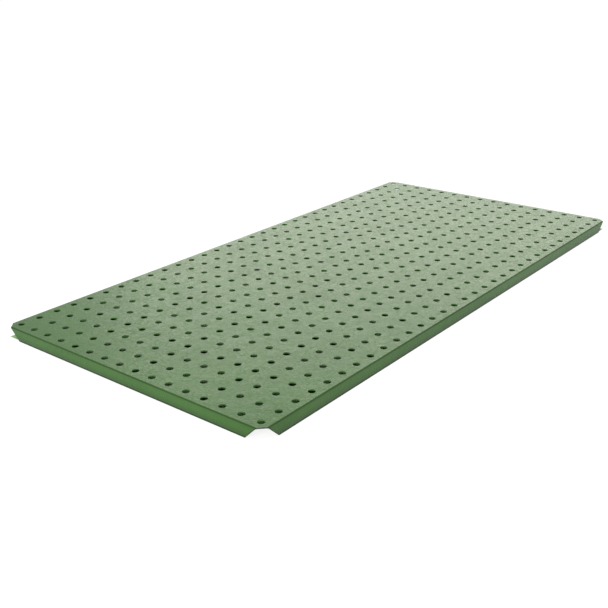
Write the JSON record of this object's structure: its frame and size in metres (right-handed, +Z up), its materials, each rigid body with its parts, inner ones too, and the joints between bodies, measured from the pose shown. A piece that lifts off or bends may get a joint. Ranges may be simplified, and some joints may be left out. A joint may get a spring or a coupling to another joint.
{
  "type": "welding table top",
  "caption": "Perforated folded-steel welding table top with a square grid of clamping holes, bent-down mitred sides and a welded rib grid underneath.",
  "frame": {"origin": "middle of the footprint, on the surface that the sides stand on", "axes": "+X along the long side, +Y across the width, +Z up through the working face"},
  "size_m": [1.6, 0.8, 0.03],
  "materials": {
    "deck_paint": "semi-gloss green powder coat on steel sheet",
    "rib_paint": "semi-gloss green powder coat, thinner in the corners",
    "lug_paint": "semi-gloss green powder coat"
  },
  "bodies": {
    "root": {"deck": "deck_paint", "long_rib_1": "rib_paint", "long_rib_2": "rib_paint", "long_rib_3": "rib_paint", "cross_rib_1": "rib_paint", "cross_rib_2": "rib_paint", "cross_rib_3": "rib_paint", "cross_rib_4": "rib_paint", "cross_rib_5": "rib_paint", "cross_rib_6": "rib_paint", "cross_rib_7": "rib_paint", "fixing_lug_1": "lug_paint", "fixing_lug_2": "lug_paint", "fixing_lug_3": "lug_paint", "fixing_lug_4": "lug_paint"}
  },
  "joints": []
}
